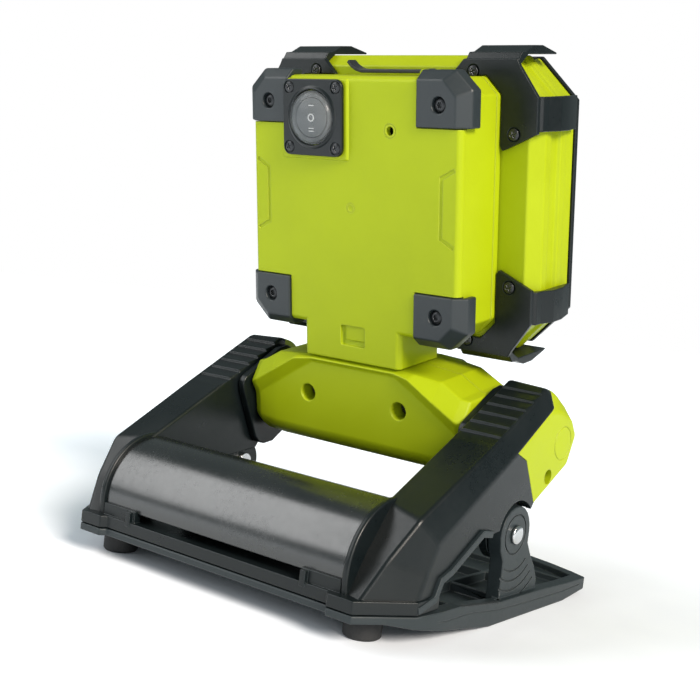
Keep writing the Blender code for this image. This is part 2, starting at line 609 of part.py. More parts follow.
# Corner guards of the lamp: a plate behind the corner and two legs that hook over its edges.
guard_plate = [(41, 231), (34, 223.6), (53.7, 223.6), (61.4, 215.3), (61.4, 192), (62.7, 190)]
guard_plate += [(80.5, 198), (80.5, 214), (70.5, 228), (69, 231)]
guard = prism("Y", guard_plate, 33.2, 35.7)
leg = [(33.2, 226), (33.2, 229), (37, 234), (41, 234.2), (48, 237), (56, 237)]
leg += [(69, 233.7), (69, 232.9), (43, 232.9), (41, 231.8)]
leg += [(35.7, 228.2), (35.7, 226)]
add(guard, prism("X", leg, 41.5, 69.5))
side_leg = [(z - LAMP_MID_Z - LAMP_HALF[1] + LAMP_HALF[0], y) for y, z in leg]
add(guard, prism("Z", side_leg, 199, 214.5))
for label_z, sz in (("top", 1), ("bottom", -1)):
    for label_x, flip in SIDES:
        where = label_z + "_" + label_x
        case_z = None if sz > 0 else CASE_MID_Z
        lamp_z = None if sz > 0 else LAMP_MID_Z
        finish(copy_of(bumper, flip, case_z), "bumper_" + where, HEAD, matte, 25)
        finish(copy_of(bumper_screw, flip, case_z), "bumper_screw_" + where, HEAD, dark_steel)
        finish(copy_of(guard, flip, lamp_z), "corner_guard_" + where, HEAD, black, 25)
for used in (bumper, bumper_screw, guard):
    bpy.data.objects.remove(used)

# Switch on the back of the case.
half = 17.8
round_corner = []
for cx, cz, start in ((1, 1, 0), (-1, 1, 90), (-1, -1, 180), (1, -1, 270)):
    for step in range(4):
        a = math.radians(start + 30 * step)
        u = SWITCH_AT[0] + cx * (half - 4) + 4 * math.cos(a)
        round_corner.append((u, SWITCH_AT[1] + cz * (half - 4) + 4 * math.sin(a)))
plate = prism("Y", round_corner, -2, 0)
cut(plate, rod("Y", SWITCH_AT, 13.0, -3, 1, 32))
SCREW_STEP = 14.0
for k, (sx, sz) in enumerate(((1, 1), (-1, 1), (-1, -1), (1, -1))):
    at = (SWITCH_AT[0] + SCREW_STEP * sx, SWITCH_AT[1] + SCREW_STEP * sz)
    cut(plate, rod("Y", at, 2.9, -3, -1.1, 16), rod("Y", at, 1.7, -3, 1, 12))
    screw_profile = [(0, -1.95), (2.0, -1.95), (2.5, -1.7), (2.5, -1.4), (1.3, -1.4), (1.3, -0.1), (0, -0.1)]
    screw = turned("Y", at, screw_profile, 14)
    finish(screw, "switch_screw_" + str(k + 1), HEAD, steel)
finish(plate, "switch_plate", HEAD, matte)
body_line = [(0, 20), (11.1, 20), (11.1, 0), (12.6, 0), (12.6, -1.6), (10.0, -1.6), (10.0, 4.6), (0, 4.6)]
finish(turned("Y", SWITCH_AT, body_line, 32), "switch_body", HEAD, black)
dome = []
for r, h in ((12.6, 6.4), (11.8, 5.6)):
    arc = [(r * math.cos(math.radians(a)), -1.9 - h * math.sin(math.radians(a))) for a in (0, 18, 36, 54, 72)]
    arc.append((0.0, -1.9 - h))
    dome.append(arc)
finish(turned("Y", SWITCH_AT, dome[0][::-1] + dome[1], 28), "switch_boot", HEAD, smoke, 50)
rocker_line = [(0, -2.6), (8.2, -2.9), (9.2, -2.2), (9.2, 1.6), (0, 1.6)]
finish(turned("Y", SWITCH_AT, rocker_line, 32), "switch_rocker", ROCKER, matte)

# Inside the case.
for k in range(3):
    at = (20.0, 128.0 + 20.5 * k)
    cell = turned("X", at, [(0, -32.5), (9.2, -32.5), (9.2, 31), (4, 31), (3.4, 32.5), (0, 32.5)], 24)
    finish(cell, "battery_cell_" + str(k + 1), HEAD, wrap)
finish(box((-45, 6), (21.5, 23.1), (187, 219)), "control_board", HEAD, board)
port = box((-60.5, -56), (14.4, 25.6), (147.4, 158.6))
add(port, box((-62.6, -61.3), (12, 28), (145, 161)), box((-61.8, -60), (15, 25), (148, 158)))
finish(port, "charge_port_cover", HEAD, rubber)

# Hanging hook, folded flat on top of the case.
shank = [(26, 225.2), (-11, 225.2), (-14.2, 226.0), (-17, 227.6), (-19.4, 229.8)]
hook = prism("Y", strip(shank, 1.8), 24.1, 29.9)
eye = rod("Y", (HOOK_AT[0], HOOK_AT[2]), 2.1, 24.1, 29.9, 20)
add(hook, eye)
cut(hook, rod("Y", (HOOK_AT[0], HOOK_AT[2]), 1.15, 20, 34, 12))
finish(hook, "hanging_hook", HOOK, dark_steel)
hook_pin = rod("Y", (HOOK_AT[0], HOOK_AT[2]), 0.85, 21.4, 32.6, 12)
finish(hook_pin, "hook_pin", HEAD, steel)
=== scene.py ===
"""Looks of the work light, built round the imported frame.

Shapes are drawn in millimetres and stored in metres. The base frame has Z up from the floor, and Y from the
clamp's mouth to its paddle. The head frame is the base frame turned by HEAD_LEAN about X, because the lamp
leans back a little on its tilting bar.
"""

import json
import math

import bmesh
import bpy
from mathutils import Matrix, Vector

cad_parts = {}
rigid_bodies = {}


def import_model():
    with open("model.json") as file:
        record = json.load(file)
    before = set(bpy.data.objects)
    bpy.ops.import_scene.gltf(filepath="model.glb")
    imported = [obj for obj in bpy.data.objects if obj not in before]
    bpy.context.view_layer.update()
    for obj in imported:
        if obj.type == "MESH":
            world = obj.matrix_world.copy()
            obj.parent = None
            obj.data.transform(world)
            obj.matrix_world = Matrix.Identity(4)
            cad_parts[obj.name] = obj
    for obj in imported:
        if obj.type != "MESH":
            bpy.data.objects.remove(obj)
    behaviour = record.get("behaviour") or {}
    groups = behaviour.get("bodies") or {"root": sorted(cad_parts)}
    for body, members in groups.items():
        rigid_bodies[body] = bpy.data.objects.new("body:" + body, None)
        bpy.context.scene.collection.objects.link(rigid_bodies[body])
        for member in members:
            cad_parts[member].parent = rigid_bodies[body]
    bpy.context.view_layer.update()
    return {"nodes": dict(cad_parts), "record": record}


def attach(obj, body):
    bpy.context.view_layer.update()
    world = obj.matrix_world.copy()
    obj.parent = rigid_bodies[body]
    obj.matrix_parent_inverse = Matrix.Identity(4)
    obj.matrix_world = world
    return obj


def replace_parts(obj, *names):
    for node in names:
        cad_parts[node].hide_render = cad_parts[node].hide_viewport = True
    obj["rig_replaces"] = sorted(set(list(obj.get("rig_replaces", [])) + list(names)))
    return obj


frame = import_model()

MM = 0.001
GAP = 0.3
HEAD_LEAN = math.radians(11.0)
DEPTH_CENTRE = 75.0
JAW_PIVOT = (79.0, 38.5)
TILT_PIVOT = Vector((0.0, 94.1, 85.5))
HEAD_ORIGIN = Vector((0.0, 23.0, 66.0))
CASE_MID_Z = 163.6
LAMP_MID_Z = 162.5
LAMP_HALF_WIDTH, LAMP_HALF_HEIGHT = 80.0, 70.0
SWITCH_AT = (-20.4, 203.9)
ARM_INNER_X = 70.5
ARM_OUTER_X = 96.0
ARM_WALL = 2.8
SIDES = (("left", True), ("right", False))
TUBE_CENTRE = (14.0, 27.0)
TUBE_R = 28.2
TUBE_WALL = 3.0

TO_BASE = Matrix.Scale(MM, 4) @ Matrix.Translation((0, -DEPTH_CENTRE, 0))
LEAN = Matrix.Rotation(HEAD_LEAN, 4, "X")
TO_HEAD = TO_BASE @ Matrix.Translation(TILT_PIVOT) @ LEAN @ Matrix.Translation(-HEAD_ORIGIN)
ROW = Matrix.Scale(MM, 4)

record = frame["record"]
BODY_OF = {node: body for body, nodes in record["behaviour"]["bodies"].items() for node in nodes}
SLOT_OF = {row["node"]: row["material_slot"] for row in record["subparts"]}


# Drawing helpers
def piece_from(bm):
    bmesh.ops.remove_doubles(bm, verts=bm.verts, dist=0.0001)
    bmesh.ops.recalc_face_normals(bm, faces=bm.faces)
    mesh = bpy.data.meshes.new("shape")
    bm.to_mesh(mesh)
    bm.free()
    made = bpy.data.objects.new("shape", mesh)
    bpy.context.scene.collection.objects.link(made)
    return made


def loft(rings):
    bm = bmesh.new()
    rows = [[bm.verts.new(point) for point in ring] for ring in rings]
    count = len(rows[0])
    for low, high in zip(rows, rows[1:]):
        for i in range(count):
            j = (i + 1) % count
            bm.faces.new((low[i], low[j], high[j], high[i]))
    bm.faces.new(rows[0][::-1])
    bm.faces.new(rows[-1])
    return piece_from(bm)


def placed(axis, u, v, along):
    """A point drawn as (Y, Z) for axis X, (X, Z) for axis Y and (X, Y) for axis Z."""
    if axis == "X":
        return Vector((along, u, v))
    if axis == "Y":
        return Vector((u, along, v))
    return Vector((u, v, along))


def prism(axis, outline, start, end):
    return loft([[placed(axis, u, v, along) for u, v in outline] for along in (start, end)])


def box(x, y, z):
    return prism("Z", [(x[0], y[0]), (x[1], y[0]), (x[1], y[1]), (x[0], y[1])], *z)


def circle(centre, radius, count=32, turn=0.0):
    angles = [turn + 2 * math.pi * i / count for i in range(count)]
    return [(centre[0] + radius * math.cos(a), centre[1] + radius * math.sin(a)) for a in angles]


def rod(axis, centre, radius, start, end, count=32, turn=0.0):
    return prism(axis, circle(centre, radius, count, turn), start, end)


def turned(axis, centre, profile, count=48):
    """A round body from (radius, along) points. The profile ends on the axis, or is closed on itself."""
    bm = bmesh.new()
    rows = []
    for radius, along in profile:
        if radius == 0.0:
            rows.append([bm.verts.new(placed(axis, centre[0], centre[1], along))])
        else:
            rows.append([bm.verts.new(placed(axis, u, v, along)) for u, v in circle(centre, radius, count)])
    pairs = list(zip(rows, rows[1:]))
    if profile[0][0] != 0.0:
        pairs.append((rows[-1], rows[0]))
    for low, high in pairs:
        for i in range(count):
            j = (i + 1) % count
            corners = [low[i % len(low)], low[j % len(low)], high[j % len(high)], high[i % len(high)]]
            distinct = []
            for corner in corners:
                if corner not in distinct:
                    distinct.append(corner)
            bm.faces.new(distinct)
    return piece_from(bm)


def inset(outline, distance):
    area = sum(a[0] * b[1] - b[0] * a[1] for a, b in zip(outline, outline[1:] + outline[:1]))
    side = distance if area > 0 else -distance
    moved = []
    for before, here, after in zip(outline[-1:] + outline[:-1], outline, outline[1:] + outline[:1]):
        first = Vector((here[0] - before[0], here[1] - before[1])).normalized()
        second = Vector((after[0] - here[0], after[1] - here[1])).normalized()
        normal = Vector((-first.y - second.y, first.x + second.x)).normalized()
        reach = side / max(0.3, normal.dot(Vector((-first.y, first.x))))
        moved.append((here[0] + normal.x * reach, here[1] + normal.y * reach))
    return moved


def both_sides(half):
    return half + [(-x, y) for x, y in reversed(half) if abs(x) > 1e-6]


def strip(points, width):
    """The outline of a line of this width through the points."""
    left, right = [], []
    for i, here in enumerate(points):
        before = points[max(0, i - 1)]
        after = points[min(len(points) - 1, i + 1)]
        ways = []
        for start, end in ((before, here), (here, after)):
            way = Vector((end[0] - start[0], end[1] - start[1]))
            if way.length > 0:
                ways.append(way.normalized())
        mean = (ways[0] + ways[-1]).normalized()
        reach = width / 2 / max(0.4, mean.dot(ways[0]))
        left.append((here[0] - mean.y * reach, here[1] + mean.x * reach))
        right.append((here[0] + mean.y * reach, here[1] - mean.x * reach))
    return left + right[::-1]


def settle(piece):
    """Replaces the piece's mesh by its evaluated one."""
    graph = bpy.context.evaluated_depsgraph_get()
    result = bpy.data.meshes.new_from_object(piece.evaluated_get(graph))
    piece.modifiers.clear()
    old = piece.data
    piece.data = result
    bpy.data.meshes.remove(old)
    return piece


def combine(piece, tools, operation):
    for tool in tools:
        modifier = piece.modifiers.new("combine", "BOOLEAN")
        modifier.operation = operation
        modifier.solver = "EXACT"
        modifier.object = tool
        settle(piece)
        bpy.data.objects.remove(tool)
    return piece


def add(piece, *tools):
    return combine(piece, tools, "UNION")


def cut(piece, *tools):
    return combine(piece, tools, "DIFFERENCE")


def common(piece, *tools):
    return combine(piece, tools, "INTERSECT")


def rounded(piece, width, segments=3, angle=24.0):
    """Rounds every edge sharper than this angle."""
    modifier = piece.modifiers.new("rounding", "BEVEL")
    modifier.width = width
    modifier.segments = segments
    modifier.limit_method = "ANGLE"
    modifier.angle_limit = math.radians(angle)
    modifier.use_clamp_overlap = False
    return settle(piece)


def rounded_by(piece, width, share, segments=4):
    """Rounds each edge by its own share of the width, from a function of the edge's two ends."""
    mesh = piece.data
    weights = mesh.attributes.new("bevel_weight_edge", "FLOAT", "EDGE")
    for edge in mesh.edges:
        weights.data[edge.index].value = share(*(mesh.vertices[i].co for i in edge.vertices))
    modifier = piece.modifiers.new("rounding", "BEVEL")
    modifier.width = width
    modifier.segments = segments
    modifier.limit_method = "WEIGHT"
    modifier.use_clamp_overlap = False
    return settle(piece)


def copy_of(piece, flip_x=False, flip_about_z=None):
    made = piece.copy()
    made.data = piece.data.copy()
    bpy.context.scene.collection.objects.link(made)
    change = Matrix.Identity(4)
    if flip_x:
        change = Matrix.Scale(-1, 4, Vector((1, 0, 0))) @ change
    if flip_about_z is not None:
        turn = Matrix.Scale(-1, 4, Vector((0, 0, 1)))
        turn.translation = Vector((0, 0, 2 * flip_about_z))
        change = turn @ change
    made.data.transform(change)
    if change.determinant() < 0:
        made.data.flip_normals()
    return made


# Materials
def link(tree, source, target):
    tree.links.new(source, target)


def node(tree, kind, **values):
    made = tree.nodes.new(kind)
    for name, value in values.items():
        if name in made.inputs:
            made.inputs[name].default_value = value
        else:
            setattr(made, name, value)
    return made


def mixed(tree, factor, first, second):
    """A colour between two, each a socket or a plain colour."""
    mix = tree.nodes.new("ShaderNodeMix")
    mix.data_type = "RGBA"
    link(tree, factor, mix.inputs["Factor"])
    for value, socket in ((first, mix.inputs[6]), (second, mix.inputs[7])):
        if isinstance(value, tuple):
            socket.default_value = (*value, 1.0)
        else:
            link(tree, value, socket)
    return mix.outputs[2]


def ranged(tree, value, low, high, to_low, to_high):
    made = tree.nodes.new("ShaderNodeMapRange")
    made.inputs["From Min"].default_value = low
    made.inputs["From Max"].default_value = high
    made.inputs["To Min"].default_value = to_low
    made.inputs["To Max"].default_value = to_high
    link(tree, value, made.inputs["Value"])
    return made.outputs["Result"]


def noise_of(tree, place, scale, detail=3.0, roughness=0.55):
    made = node(tree, "ShaderNodeTexNoise", Scale=scale, Detail=detail, Roughness=roughness)
    link(tree, place, made.inputs["Vector"])
    return made.outputs["Fac"]


def surface(name, colour, rough, grain=0.12, grain_scale=2600.0, vary=0.06, edge=0.25, edge_tint=None,
            metallic=0.0, radius=0.35, spread=0.06, brushed=None, **sockets):
    """A moulded or machined surface: fine grain, slow colour and gloss changes, and soft edges painted
    lighter, partly as wear and partly as a painted highlight.
    """
    made = bpy.data.materials.new(name)
    made.use_nodes = True
    tree = made.node_tree
    shader = tree.nodes["Principled BSDF"]
    shader.inputs["Metallic"].default_value = metallic
    for socket, value in sockets.items():
        shader.inputs[socket.replace("_", " ")].default_value = value
    place = node(tree, "ShaderNodeTexCoord").outputs["Object"]
    slow = noise_of(tree, place, 28.0)
    mottle = noise_of(tree, place, 420.0, 4.0)
    if brushed:
        stretch = node(tree, "ShaderNodeMapping")
        stretch.inputs["Scale"].default_value = brushed
        link(tree, place, stretch.inputs["Vector"])
        fine = noise_of(tree, stretch.outputs["Vector"], 1.0, 4.0)
    else:
        fine = noise_of(tree, place, grain_scale, 2.0)
    dark = tuple(c * (1 - vary) for c in colour)
    light = tuple(min(1.0, c * (1 + vary) + 0.002) for c in colour)
    tone = mixed(tree, ranged(tree, slow, 0.3, 0.7, 0.0, 1.0), dark, light)
    tone = mixed(tree, ranged(tree, mottle, 0.35, 0.75, 0.0, 0.35), tone, light)
    soft = node(tree, "ShaderNodeBevel", Radius=radius * MM)
    soft.samples = 6
    flat = node(tree, "ShaderNodeNewGeometry")
    bend = node(tree, "ShaderNodeVectorMath", operation="DOT_PRODUCT")
    link(tree, soft.outputs["Normal"], bend.inputs[0])
    link(tree, flat.outputs["Normal"], bend.inputs[1])
    # Edges, found where the bevel normal bends away from the face, are painted towards edge_tint (by default
    # a lighter shade of the colour): partly wear, partly a painted highlight of edges catching the light.
    edge_wear_and_highlight = ranged(tree, bend.outputs["Value"], 0.995, 0.86, 0.0, edge)
    if edge_tint is None:
        edge_tint = tuple(min(1.0, c * 1.35 + 0.03) for c in colour)
    tone = mixed(tree, edge_wear_and_highlight, tone, edge_tint)
    link(tree, tone, shader.inputs["Base Color"])
    gloss = ranged(tree, slow, 0.3, 0.7, rough - spread, rough + spread)
    patch = ranged(tree, mottle, 0.3, 0.8, -0.03, 0.05)
    total = node(tree, "ShaderNodeMath", operation="ADD")
    link(tree, gloss, total.inputs[0])
    link(tree, patch, total.inputs[1])
    link(tree, total.outputs["Value"], shader.inputs["Roughness"])
    bump = node(tree, "ShaderNodeBump", Strength=grain, Distance=0.0002)
    link(tree, fine, bump.inputs["Height"])
    link(tree, soft.outputs["Normal"], bump.inputs["Normal"])
    link(tree, bump.outputs["Normal"], shader.inputs["Normal"])
    return made


# Each edge_tint here and in the looks after this table is lighter than its base colour, so edges are painted
# lighter: partly wear, partly a painted highlight.
LOOKS = {
    "green_shell": surface("green_plastic", (0.315, 0.390, 0.003), 0.42, grain=0.10, vary=0.04, edge=0.45,
                           edge_tint=(0.56, 0.64, 0.10), radius=0.5, spread=0.05, Specular_IOR_Level=0.18),
    "black_shell": surface("black_plastic", (0.0034, 0.0062, 0.0072), 0.32, grain=0.10, edge=0.55,
                           edge_tint=(0.042, 0.056, 0.062), radius=0.45, Specular_IOR_Level=0.33),
    "matte_black": surface("grey_plastic", (0.014, 0.021, 0.024), 0.44, grain=0.22, grain_scale=1900.0,
                           edge=0.6, edge_tint=(0.11, 0.12, 0.125), Specular_IOR_Level=0.38),
    "black_rubber": surface("rubber", (0.012, 0.013, 0.014), 0.72, grain=0.5, grain_scale=1300.0, edge=0.3),
    "steel": surface("plated_steel", (0.62, 0.63, 0.64), 0.26, grain=0.12, metallic=1.0, edge=0.2,
                     brushed=(900, 900, 90)),
    "dark_steel": surface("dark_steel", (0.030, 0.032, 0.035), 0.34, grain=0.18, metallic=0.6, edge=0.6,
                          edge_tint=(0.20, 0.21, 0.22)),
    # The smoke boot's near-white edge tint paints a highlight on its rim.
    "smoke_boot": surface("smoke_boot", (0.22, 0.24, 0.25), 0.16, grain=0.03, vary=0.03, edge=0.3,
                          edge_tint=(0.85, 0.87, 0.88), Alpha=0.20, IOR=1.43),
    "clear_lens": surface("clear_lens", (0.86, 0.89, 0.91), 0.08, grain=0.02, vary=0.02, edge=0.2,
                          spread=0.02, Alpha=0.30, IOR=1.49),
    "reflector": surface("reflector", (0.80, 0.81, 0.82), 0.13, grain=0.35, grain_scale=700.0, metallic=1.0,
                         spread=0.03),
    "board": surface("circuit_board", (0.02, 0.13, 0.06), 0.42, grain=0.3, grain_scale=600.0, vary=0.2),
    "aluminium": surface("cast_aluminium", (0.55, 0.56, 0.57), 0.40, grain=0.5, grain_scale=900.0,
                         metallic=1.0),
    "cell_wrap": surface("cell_wrap", (0.045, 0.15, 0.36), 0.33, grain=0.05),
}
GLOSSY_BLACK = surface("glossy_black_plastic", (0.0050, 0.0070, 0.0078), 0.24, grain=0.07, edge=0.5,
                       edge_tint=(0.08, 0.085, 0.088), spread=0.03, radius=0.5, Specular_IOR_Level=1.0)
BUMPER_GREY = surface("bumper_grey", (0.012, 0.018, 0.021), 0.44, grain=0.16, grain_scale=1900.0, edge=0.6,
                      edge_tint=(0.16, 0.17, 0.175))
ROCKER_GREY = surface("rocker_grey", (0.062, 0.068, 0.072), 0.45, grain=0.15, edge=0.4)
MARK_WHITE = surface("mark_white", (0.80, 0.81, 0.81), 0.5, grain=0.2, edge=0.0)
FLOOR_WHITE = surface("floor_white", (0.85, 0.90, 0.97), 0.7, grain=0.1, grain_scale=300.0, vary=0.01,
                      edge=0.0, Emission_Color=(0.86, 0.95, 1.0, 1.0))


def finish(piece, name, place, material, body, stands_for=(), smooth=32.0):
    """Stores the drawn shape in the row frame and says which CAD body it moves with."""
    piece.data.transform(place)
    piece.name = name
    piece.data.materials.clear()
    piece.data.materials.append(material)
    piece.data.polygons.foreach_set("use_smooth", [True] * len(piece.data.polygons))
    piece.data.set_sharp_from_angle(angle=math.radians(smooth))
    modifier = piece.modifiers.new("flat_faces", "WEIGHTED_NORMAL")
    modifier.keep_sharp = True
    settle(piece)
    piece.data.name = name
    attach(piece, body)
    if stands_for:
        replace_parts(piece, *stands_for)
    return piece


def drop(*pieces):
    for piece in pieces:
        bpy.data.objects.remove(piece)


def cad_mesh(name):
    """A clean copy of a CAD node's mesh, in the row frame's millimetres."""
    source = frame["nodes"][name]
    bm = bmesh.new()
    bm.from_mesh(source.data)
    bm.transform(Matrix.Scale(1 / MM, 4) @ source.matrix_world)
    for layer in list(bm.loops.layers.float_vector.values()):
        bm.loops.layers.float_vector.remove(layer)
    bmesh.ops.remove_doubles(bm, verts=bm.verts, dist=0.002)
    bmesh.ops.dissolve_degenerate(bm, dist=0.0005, edges=bm.edges)
    bmesh.ops.dissolve_limit(bm, angle_limit=math.radians(0.6), verts=bm.verts, edges=bm.edges)
    return piece_from(bm)


def box_of(piece):
    points = [vert.co for vert in piece.data.vertices]
    return [min(p[i] for p in points) for i in range(3)], [max(p[i] for p in points) for i in range(3)]


def grew(before, after):
    low = max(before[0][i] - after[0][i] for i in range(3))
    high = max(after[1][i] - before[1][i] for i in range(3))
    return max(low, high)


def refined(name, width, segments=3, angle=30.0):
    """The CAD node with rounded edges. A rounding that throws a point outside the solid is made smaller."""
    clean = cad_mesh(name)
    before = box_of(clean)
    while width > 0.05:
        made = copy_of(clean)
        rounded(made, width, segments, angle)
        if grew(before, box_of(made)) < 0.15:
            drop(clean)
            return made
        drop(made)
        width *= 0.6
    return clean


def redo(name, width, material=None, segments=3, angle=30.0, smooth=32.0):
    slot = SLOT_OF[name]
    look = material or LOOKS[slot]
    made = refined(name, width, segments, angle)
    return finish(made, name + "_skin", ROW, look, BODY_OF[name], (name,), smooth)


# Battery case: one moulding with the switch's pad and the neck.
def case_outline(half_width, half_height, chamfer):
    x, z = half_width, half_height
    right = [(0, -z), (x - chamfer, -z), (x, -z + chamfer), (x, z - chamfer), (x - chamfer, z), (0, z)]
    return [(u, v + CASE_MID_Z) for u, v in both_sides(right)]


def ring_at(y, outline):
    return [Vector((x, y, z)) for x, z in outline]


case = loft([
    ring_at(1.5, case_outline(59.4, 57.8, 7.4)),
    ring_at(3.6, case_outline(61.0, 59.6, 8.0)),
    ring_at(35.4, case_outline(61.0, 59.6, 8.0)),
])
rounded(case, 0.9, 3, 20)
neck_rings = []
for y, half in ((1.5, 27.3), (3.6, 29.3), (33.4, 29.3), (35.4, 27.5)):
    neck_rings.append(ring_at(y, [(-half, 87.6), (half, 87.6), (half, 112), (-half, 112)]))
neck = rounded(loft(neck_rings), 0.8, 3, 20)
pad = [(-41, 184.2), (-1, 184.2), (-1, 222), (-41, 222)]
add(case, neck, rounded(prism("Y", pad, GAP, 6), 1.2, 3))
cut(case, box((-33.5, 33.5), (4.6, 40), (107.2, 220)))
cut(case, box((-58, 58), (4.6, 40), (CASE_MID_Z - 32, CASE_MID_Z + 32)))
cut(case, prism("Y", case_outline(58.0, 56.6, 7.0), 10, 40))
seam = prism("Y", inset(case_outline(61.0, 59.6, 8.0), -2), 30.2, 30.7)
cut(case, cut(seam, prism("Y", inset(case_outline(61.0, 59.6, 8.0), 0.35), 29, 32)))
BEND = ((57.9, 19.6), (50.9, 15.7), (50.9, -11.3), (57.9, -15.2))
for sx in (1, -1):
    trace = [(x * sx, z + CASE_MID_Z) for x, z in BEND]
    cut(case, prism("Y", strip(trace, 1.8), 0.8, 2.0))
    for sz in (1, -1):
        corner_x = sorted((37.2 * sx, 70 * sx))
        cut(case, box(corner_x, (0, 6.3), sorted((CASE_MID_Z + sz * 37.2, CASE_MID_Z + sz * 70))))
cut(case, rod("Z", (0, 23), 4.3, 85, 100), rod("Z", (0, 23), 8, 97.1, 115))
cut(case, rounded(box((-6, 8.6), (-2, 3.2), (95.4, 105.4)), 0.9))
add(case, rounded(box((-3.4, 9.5), (2.2, 4), (98, 106)), 0.5))
cut(case, rod("Y", SWITCH_AT, 11.5, -1, 6, 40))
cut(case, rod("Y", (22.5, 199), 2.1, 0, 6, 24))
cut(case, turned("Y", (22.5, 199), [(2.9, 1.3), (3.5, 1.3), (3.5, 1.75), (2.9, 1.75)], 32))
cut(case, turned("Y", (0, 162.4), [(0, 0.9), (1.5, 0.9), (1.5, 1.7), (0, 2.1)], 24))
cut(case, turned("Y", (0, 162.4), [(2.1, 1.3), (2.5, 1.3), (2.5, 1.7), (2.1, 1.7)], 24))
cut(case, box((-65, -55), (14, 26), (147, 159)))
LUG = [(24.8, 222), (30, 222), (30, 225.2), (28.9, 226.3), (25.9, 226.3), (24.8, 225.2)]
for lug_y in ((21.4, 23.8), (30.2, 32.6)):
    add(case, rounded(prism("Y", LUG, *lug_y), 0.3))
cut(case, box((24.6, 30.2), (23.8, 30.2), (221.9, 224)), rod("Y", (27.4, 224.4), 1.15, 20, 34, 16))
finish(case, "battery_case_skin", TO_HEAD, LOOKS["green_shell"], "head", ("battery_case",))


# Clamp arms, front cover and flange stand for the upper jaw.
ARM_INNER = [(-13.5, 15), (-13.5, 19.4), (-4, 36), (10.2, 55.2), (53.3, 78.7)]
ARM_INNER += [(99.5, 105), (110, 103), (121, 94.5), (126.5, 82), (121, 68)]
ARM_RIDGE = [(80.5, -18, 15), (81, -17, 18.5), (86.5, -7.5, 35.5), (91.5, 5.5, 52), (92.8, 53.5, 78.5)]
ARM_RIDGE += [(92, 98.5, 104), (91, 110, 101.5), (91, 121.5, 93.5), (91, 127, 82), (91, 121.5, 68)]
ARM_OUTER = [(3.4, 15), (4, 19.7), (9, 30), (15.3, 41.9), (60, 69.2)]
ARM_OUTER += [(99.3, 93.7), (108, 93.4), (120.5, 89.2), (127, 81.7), (121.8, 68.2)]
SKIRT = [(92.2, 51.4), (87.7, 45.2), (57.3, 40.8), (48.1, 42.7)]
SKIRT += [(25.9, 29.3), (18.8, 26.7), (15.3, 19.3), (15.3, 15)]
SKIRT_X = 90.0


def arm_rings(wall, tail=None):
    """The arm's inner face, ridge and outer face, moved in by the wall. A tail replaces the skirt."""
    count = len(ARM_RIDGE)
    ridge_x = [point[0] - wall for point in ARM_RIDGE]
    lines = (
        (ARM_INNER, [ARM_INNER_X + wall] * count, ARM_INNER_X + wall),
        ([point[1:] for point in ARM_RIDGE], ridge_x, min(ridge_x[-1], SKIRT_X)),
        (ARM_OUTER, [ARM_OUTER_X - wall] * count, ARM_OUTER_X - wall),
    )
    rings = []
    for full, along, under_x in lines:
        line = inset(full + SKIRT, wall)[:count]
        under = [(y, z + wall) for y, z in SKIRT]
        if tail is not None:
            line[0] = (line[0][0], tail[-1][1])
            under = tail
        xs = along + [under_x] * len(under)
        rings.append([Vector((x, y, z)) for x, (y, z) in zip(xs, line + under)])
    return rings


def arm_share(a, b):
    """The rear end is rounded most, the arm's long edges less, and its lower skirt hardly."""
    def on_skirt(point):
        return any(math.hypot(point.y - y, point.z - z) < 0.01 for y, z in SKIRT)
    if on_skirt(a) or on_skirt(b):
        return 0.1 if on_skirt(a) and on_skirt(b) else 0.2
    return 1.0 if abs(a.x - b.x) > 3 and a.y > 105 else 0.4


arm = rounded_by(loft(arm_rings(0.0)), 4.2, arm_share)
arm_core = loft(arm_rings(0.6))
cut(arm, loft(arm_rings(ARM_WALL, [(118, 30), (20, -8)])))
well = common(rod("X", JAW_PIVOT, 17.6, 84.8, 96.5, 56), copy_of(arm_core))
add(arm, well, rod("X", JAW_PIVOT, 13, 84.2, 88.6, 56), rod("X", JAW_PIVOT, 11, 70.9, 73.0, 48))
cut(arm, rod("X", JAW_PIVOT, 15.6, 88.4, 100, 56), rod("X", JAW_PIVOT, 3.3, 68, 90, 28))
RIB_LINES = (54.6, 62.0, 68.8, 75.4, 81.8, 88.1, 94.4)
RIB_DEPTH = 1.3


def roof_height(y):
    (y0, z0), (y1, z1) = ARM_INNER[4:6]
    return z0 + (z1 - z0) * (y - y0) / (y1 - y0)


COVER_SIDE = [(71.8, 75.9), (80.2, 72.2), (92.2, 51.4), (92.2, 30)]
COVER_SIDE += [(140, 30), (140, 115), (103.5, 115), (101.7, 95.4)]
COVER_SCREW = (103.0, 62.9)
COVER_END = [(103.5, 115), (102.5, 95), (104, 40), (140, 40), (140, 115)]


def cover_region(margin):
    region = prism("X", inset(COVER_SIDE, margin), 84 + margin, 99)
    return add(region, prism("X", inset(COVER_END, margin), 68, 98.9))


cover = copy_of(arm)
boss = common(rod("X", COVER_SCREW, 6.6, 84.6, 95.9, 32), copy_of(arm_core))
add(cover, boss)
common(cover, cover_region(GAP / 2))
cut(cover, rod("X", COVER_SCREW, 3.5, 90, 99, 32), rod("X", COVER_SCREW, 1.8, 80, 91, 16))
mark = [(7.5, ARM_OUTER_X - 0.35), (8.2, ARM_OUTER_X - 0.35), (8.2, ARM_OUTER_X + 1), (7.5, ARM_OUTER_X + 1)]
cut(cover, turned("X", (113.8, 78), mark, 48))
cut(arm, cover_region(-GAP / 2))
cut(arm, rod("X", TILT_PIVOT[1:], 4.3, 68, 76))
for front, rear in zip(RIB_LINES, RIB_LINES[1:]):
    tooth = [(front, roof_height(front)), (rear - 0.05, roof_height(rear) - RIB_DEPTH)]
    tooth += [(rear - 0.05, roof_height(rear) + 4), (front, roof_height(front) + 4)]
    cut(arm, prism("X", tooth, 69, 91.6))
drop(arm_core)

